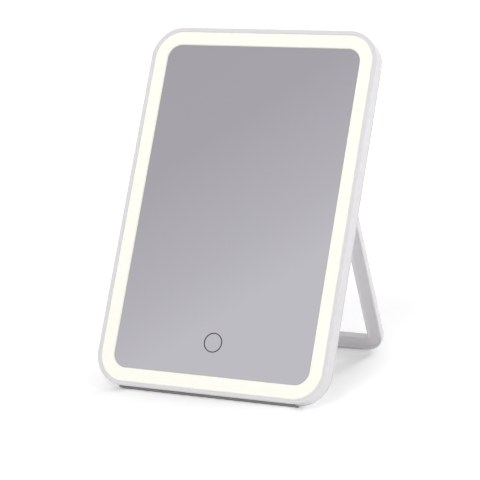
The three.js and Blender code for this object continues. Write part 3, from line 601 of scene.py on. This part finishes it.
def heelCutter(name, turn):
    # A block beyond the flat that lies half a thickness from the hinge line, turned by an angle
    half = stand["thick"] / 2
    far = 2 * stand["heel"] + half
    along = np.array([math.sin(turn), math.cos(turn)])
    normal = np.array([-math.cos(turn), math.sin(turn)])
    flat = np.array([a * along + n * normal for a, n in (
        (-far, half), (far, half), (far, half + far), (-far, half + far))])
    x = np.array([[-stand["width"]], [stand["width"]]])
    vertices = np.stack([x + 0 * flat[:, 0], flat[:, 0] + 0 * x, flat[:, 1] + 0 * x], -1)
    return meshPiece(name, vertices, loftFaces(2, 4, False))


def makeStand():
    half, edge, fillet = stand["thick"] / 2, stand["edge"], stand["channelFillet"]
    front = arcPoints(-edge, -half + edge, edge, 270, 360, 5)
    rear = arcPoints(-edge, half - edge, edge, 0, 90, 5)
    piece = standLoft("standBar", path(front, rear), stand["heel"])
    lip, floor = -stand["channelLip"], -half + stand["channelDeep"]
    foot = lip - stand["channelDeep"] + 2 * fillet * (1 - math.sqrt(2))
    channel = standLoft("channelCut", path(
        (lip, -half - past),
        arcPoints(lip, -half + fillet, fillet, 270, 225, 3),
        arcPoints(foot, floor - fillet, fillet, 45, 90, 3),
    ), stand["channelTop"])
    tools = [channel, heelCutter("heelHalf", openAngle / 2), heelCutter("heelOpen", openAngle)]
    outer, inner, deep = stand["width"] / 2, stand["width"] / 2 - stand["leg"], stand["reliefDeep"]
    reach, bore = stand["reliefReach"], outer + stand["boreReach"]
    for number, (low, high) in enumerate([(outer - deep, outer + past), (inner - past, inner + deep)]):
        for sign in (-1, 1):
            left, right = sorted((sign * low, sign * high))
            tools.append(boxPiece(f"relief{number}{sign}", (left, -reach, -stand["knuckle"]), (right, reach, reach)))
    tools.append(rod("boreCut", stand["bore"], -bore, bore, (0, 0, 0), "x"))
    tools.append(boxPiece("footCut", (-stand["grooveHalf"], stand["grooveFrom"], -stand["length"] - past),
                          (stand["grooveHalf"], stand["grooveTo"], -stand["length"] + stand["grooveDeep"])))
    carve(piece, tools)
    finishPiece(piece, inStand, "stand", ["stand_frame"], standWhite)


makeStand()


# Back cover: shell, stand recess, finger scoop, hinge bosses and screw holes

cover = {
    "wall": 1.5, "edge": 3, "tongueInset": 1.3, "tongueWall": 1, "tongueFrom": 9.6,
    "clearance": 0.5, "footRoom": 0.4, "recessWall": 1.2, "recessFloor": 7.9, "recessTop": 6.613,
    "mouthRound": 0.5, "floorRound": 0.5,
    "scoopRadius": 12, "scoopDeep": 5.5, "scoopPole": -88, "scoopRings": 22, "scoopSides": 72,
    "bossRadius": 2.7, "bossLong": 2.8,
    "screwX": 84.95, "screwHeights": (22, 142, 262), "screwShank": 1.3, "screwMouth": 2.2, "screwSink": 0.3,
    "screwHead": 0.9, "screwSides": 40, "sunk": 0.4,
}


def scoopPiece(name, wall, openTo):
    # A bowl: (radius times cos, depth times sin) of an angle that climbs from near the pole to a given depth
    radius, deep = cover["scoopRadius"] + wall, cover["scoopDeep"] + wall
    centreZ = mirror["hingeHeight"] - stand["length"] + stand["leg"] + cover["clearance"]
    top = math.degrees(math.asin(min(1, (openTo - mirror["depth"]) / deep)))
    climb = np.radians(np.linspace(cover["scoopPole"], top, cover["scoopRings"]))
    profile = np.column_stack([radius * np.cos(climb), deep * np.sin(climb)])
    return revolved(name, profile, (0, mirror["depth"], centreZ), "y", cover["scoopSides"])


def makeBackCover():
    depth, edge, inside = mirror["depth"], cover["edge"], mirror["depth"] - cover["wall"]
    seat = depth - edge
    innerStart = cover["tongueInset"] + cover["tongueWall"]
    innerFillet = edge - cover["wall"]
    piece = carried("backCoverShell", path(
        arcPoints(edge, seat, edge, 90, 180, 12),
        (cover["tongueInset"], seat),
        (cover["tongueInset"], cover["tongueFrom"]),
        (innerStart, cover["tongueFrom"]),
        arcPoints(innerStart + innerFillet, inside - innerFillet, innerFillet, 180, 90, 5),
    ), False)
    hinge = (0, 0, mirror["hingeHeight"])
    grown = cover["clearance"] + cover["recessWall"]
    floor, top = cover["recessFloor"], cover["recessTop"]
    skin = standLoft("recessSkin", path((grown, floor - cover["recessWall"]), (grown, inside + cover["sunk"])),
                     top, hinge, cover["footRoom"])
    bowl = scoopPiece("scoopSkin", cover["recessWall"], inside + cover["sunk"])
    outer, inner = stand["width"] / 2 + cover["clearance"], stand["width"] / 2 - stand["leg"] - cover["clearance"]
    reach = cover["recessWall"] + cover["bossLong"]
    axle = (0, mirror["hingeDepth"], mirror["hingeHeight"])
    spans = [(sign * low, sign * high) for low, high in ((outer, outer + reach), (inner - reach, inner))
             for sign in (-1, 1)]
    bosses = [rod(f"boss{number}", cover["bossRadius"], min(span), max(span), axle, "x")
              for number, span in enumerate(spans)]
    carve(piece, [skin, bowl] + bosses, "UNION")
    clear, mouth, base = cover["clearance"], cover["mouthRound"], cover["floorRound"]
    recess = standLoft("recessCut", path(
        arcPoints(clear - base, floor + base, base, 270, 360, 5),
        arcPoints(clear + mouth, depth - mouth, mouth, 180, 90, 5),
        (clear + mouth, depth + past),
    ), top - clear, hinge, cover["footRoom"])
    scoop = scoopPiece("scoopCut", 0, depth + cover["scoopDeep"])
    tools = [recess, scoop]
    for sign in (-1, 1):
        ends = sorted((sign * (inner - reach - past), sign * (outer + reach + past)))
        tools.append(rod(f"bore{sign}", stand["bore"], *ends, axle, "x"))
    cone = depth - cover["screwSink"]
    hole = path((cover["screwShank"], inside - past), (cover["screwShank"], cone - cover["screwHead"]),
                (cover["screwMouth"], cone), (cover["screwMouth"], depth + past))
    for height in cover["screwHeights"]:
        for sign in (-1, 1):
            tools.append(revolved(f"screwCut{height}{sign}", hole, (sign * cover["screwX"], 0, height), "y",
                                  cover["screwSides"]))
    carve(piece, tools + sideCutters())
    finishPiece(piece, inHead, "head", ["back_cover"], housingWhite)


makeBackCover()


# Cover screws, with a cross recess in each head

screw = {
    "radius": 1, "headRadius": 1.9, "headHeight": 0.9, "rim": 0.1, "top": 14.1, "tip": 7.2, "point": 0.6,
    "crossHalf": 0.3, "crossReach": 1.15, "crossDeep": 0.55, "crossSide": 0.12, "crossEnd": 0.45,
    "middle": 0.04, "pointRadius": 0.05, "headRings": 22, "sides": 64,
}


def makeScrew(number, x, z):
    # Rings run from the head's middle outwards, down the cone and the shank to the tip. On the head the depth is
    # the top less the cross: a ramp on the smaller of |a| and |b| times a ramp on the larger
    sides = screw["sides"]
    angle = np.radians(np.arange(sides) * 360 / sides)
    headRadii = np.linspace(screw["middle"], screw["headRadius"], screw["headRings"])
    lower = np.array([
        (screw["headRadius"], screw["top"] - screw["rim"]),
        (screw["radius"], screw["top"] - screw["headHeight"]),
        (screw["radius"], screw["tip"] + screw["point"]),
        (screw["pointRadius"], screw["tip"]),
    ])
    radius = np.concatenate([headRadii, lower[:, 0]])[:, None]
    a, b = radius * np.cos(angle), radius * np.sin(angle)
    small, large = np.minimum(abs(a), abs(b)), np.maximum(abs(a), abs(b))
    across = np.clip((screw["crossHalf"] - small) / screw["crossSide"], 0, 1)
    along = np.clip((screw["crossReach"] - large) / screw["crossEnd"], 0, 1)
    depth = np.concatenate([np.full(len(headRadii), screw["top"]), lower[:, 1]])[:, None] + 0 * angle
    onHead = (np.arange(len(radius)) < len(headRadii))[:, None]
    depth = depth - np.where(onHead, screw["crossDeep"] * across * along, 0)
    vertices = np.stack([a + x, depth, b + z], -1)
    piece = meshPiece(f"coverScrewHead{number}", vertices, loftFaces(len(radius), sides, False))
    finishPiece(piece, inHead, "head", [f"cover_screw_{number}"], finishes["plated_steel"])


screwPlaces = [(sign * cover["screwX"], height) for height in cover["screwHeights"] for sign in (-1, 1)]
for index, (x, z) in enumerate(screwPlaces):
    makeScrew(index + 1, x, z)


# Floor, light and camera

def raySwitch(graph):
    # One for the rays of the camera and for reflected and refracted ones, else nothing
    camera, shine, clear = [graph.add("ShaderNodeLightPath", output=f"Is {kind} Ray")
                            for kind in ("Camera", "Glossy", "Transmission")]
    return camera + shine + clear


def makeFloor():
    # Seen by the camera, the floor glows a little, white far off. The glow paints shade: least under the mirror,
    # where its shadow lies, and more beside it. It paints light just in front of the line where the base strip stands
    # on it, lightening the shadow under the leaning head.
    floor = {
        "half": 6.0, "colour": (0.95, 0.95, 0.95, 1), "middle": (-0.02, 0.015, 0),
        "under": 0.08, "beside": 0.2, "white": 1.0, "near": 0.08, "clear": 0.14, "far": 4.4,
        "fill": 0.46, "line": -0.0764, "edge": 0.001, "reach": 0.0155, "end": 0.072, "soft": 0.006,
    }
    half = floor["half"]
    grid = np.array([(-half, -half, 0), (half, -half, 0), (half, half, 0), (-half, half, 0)], float)
    piece = meshPiece("studioFloor", grid, [(0, 1, 2, 3)])
    finish = Finish("floorWhite", Roughness=0.9, Specular_IOR_Level=0.1, Emission_Strength=1.0)
    finish.skin.inputs["Base Color"].default_value = floor["colour"]
    where = finish.add("ShaderNodeTexCoord", output="Object")
    away = finish.add("ShaderNodeVectorMath", {"operation": "DISTANCE"}, {0: where, 1: floor["middle"]},
                      output="Value")

    def slope(value, start, stop, low, high, kind="SMOOTHSTEP"):
        # Goes from low to high while the value goes from start to stop
        return finish.add("ShaderNodeMapRange", {"interpolation_type": kind}, {
            "Value": value, "From Min": start, "From Max": stop, "To Min": low, "To Max": high,
        })

    # Painted shade: least glow under the mirror, where its shadow lies, rising beside it
    close = slope(away, floor["near"], floor["clear"], floor["under"], floor["beside"])
    distant = slope(away, floor["clear"], floor["far"], 0.0, floor["white"] - floor["beside"], "LINEAR")
    across, depth = [finish.add("ShaderNodeSeparateXYZ", {}, {0: where}, output=axis) for axis in "XY"]
    ahead, across = floor["line"] - depth, abs(across)
    # Painted light: extra glow just in front of the base strip's line lightens the shadow under the leaning head
    fill = slope(ahead, -floor["edge"], 0.0, 0.0, 1.0) * slope(ahead, 0.0, floor["reach"], floor["fill"], 0.0)
    fill = fill * slope(across, floor["end"] - floor["soft"], floor["end"] + floor["soft"], 1.0, 0.0)
    glow = raySwitch(finish) * (close + distant + fill)
    finish.wear("Emission Color", finish.mixColours(glow, (0, 0, 0, 1), (1, 1, 1, 1)))
    piece.data.materials.append(finish.material)


def makeLamp(name, power, size, place):
    # A round lamp that looks at the middle of the table
    lamp = bpy.data.lights.new(name, "AREA")
    lamp.shape = "DISK"
    lamp.size = size
    lamp.energy = power
    holder = bpy.data.objects.new(name, lamp)
    bpy.context.scene.collection.objects.link(holder)
    away = np.array(place, float)
    holder.matrix_world = facing(away, away / np.linalg.norm(away))
    holder.visible_glossy = False


# Each lamp has its power, its width and its place
light = {
    "around": 0.235, "seen": 1.0, "white": (1, 1, 1, 1),
    "lamps": {
        "overhead": (16.5, 2.6, (0.3, 0.4, 2.4)),
        "front": (25.5, 1.6, (-0.1, -1.7, 1.5)),
        "right": (15.0, 1.2, (2.2, -0.2, 0.4)),
        "behind": (28.0, 0.8, (0.5, 2.1, 0.85)),
    },
}


def makeLight():
    # The camera and reflections see a white room, while the pieces are lit by a dimmer one and the lamps
    world = bpy.data.worlds.new("studio")
    bpy.context.scene.world = world
    world.use_nodes = True
    world.node_tree.nodes.clear()
    graph = Graph(world.node_tree)
    around = graph.add("ShaderNodeBackground", {}, {"Color": light["white"], "Strength": light["around"]})
    seen = graph.add("ShaderNodeBackground", {}, {"Color": light["white"], "Strength": light["seen"]})
    mix = graph.add("ShaderNodeMixShader", {}, {0: raySwitch(graph), 1: around, 2: seen})
    graph.add("ShaderNodeOutputWorld", {}, {"Surface": mix})
    for name, (power, size, place) in light["lamps"].items():
        makeLamp(name, power, size, place)


def facing(place, back, roll=0.0):
    # Axes of something at a place that looks along minus back, level and then rolled
    right = np.cross((0, 0, 1), back)
    right /= np.linalg.norm(right)
    up = np.cross(back, right)
    turnedRight = math.cos(roll) * right + math.sin(roll) * up
    turnedUp = math.cos(roll) * up - math.sin(roll) * right
    matrix = np.eye(4)
    matrix[:3, :3] = np.column_stack([turnedRight, turnedUp, back])
    matrix[:3, 3] = place
    return Matrix(matrix.tolist())


def makeCamera():
    view = {
        "lens": 149.467, "sensor": 36, "distance": 1.42535, "azimuth": 26.88, "elevation": 12.72,
        "roll": -2.26, "target": (0.03524, -0.0857, 0.1244),
    }
    azimuth, elevation = math.radians(view["azimuth"]), math.radians(view["elevation"])
    back = np.array([
        math.sin(azimuth) * math.cos(elevation), -math.cos(azimuth) * math.cos(elevation), math.sin(elevation),
    ])
    data = bpy.data.cameras.new("photoCamera")
    data.lens = view["lens"]
    data.sensor_width = view["sensor"]
    camera = bpy.data.objects.new("photoCamera", data)
    bpy.context.scene.collection.objects.link(camera)
    camera.matrix_world = facing(np.array(view["target"]) + view["distance"] * back, back, math.radians(view["roll"]))
    bpy.context.scene.camera = camera


makeFloor()
makeLight()
makeCamera()
bpy.context.scene.view_settings.view_transform = "Standard"
print("stage: floor, light and camera")
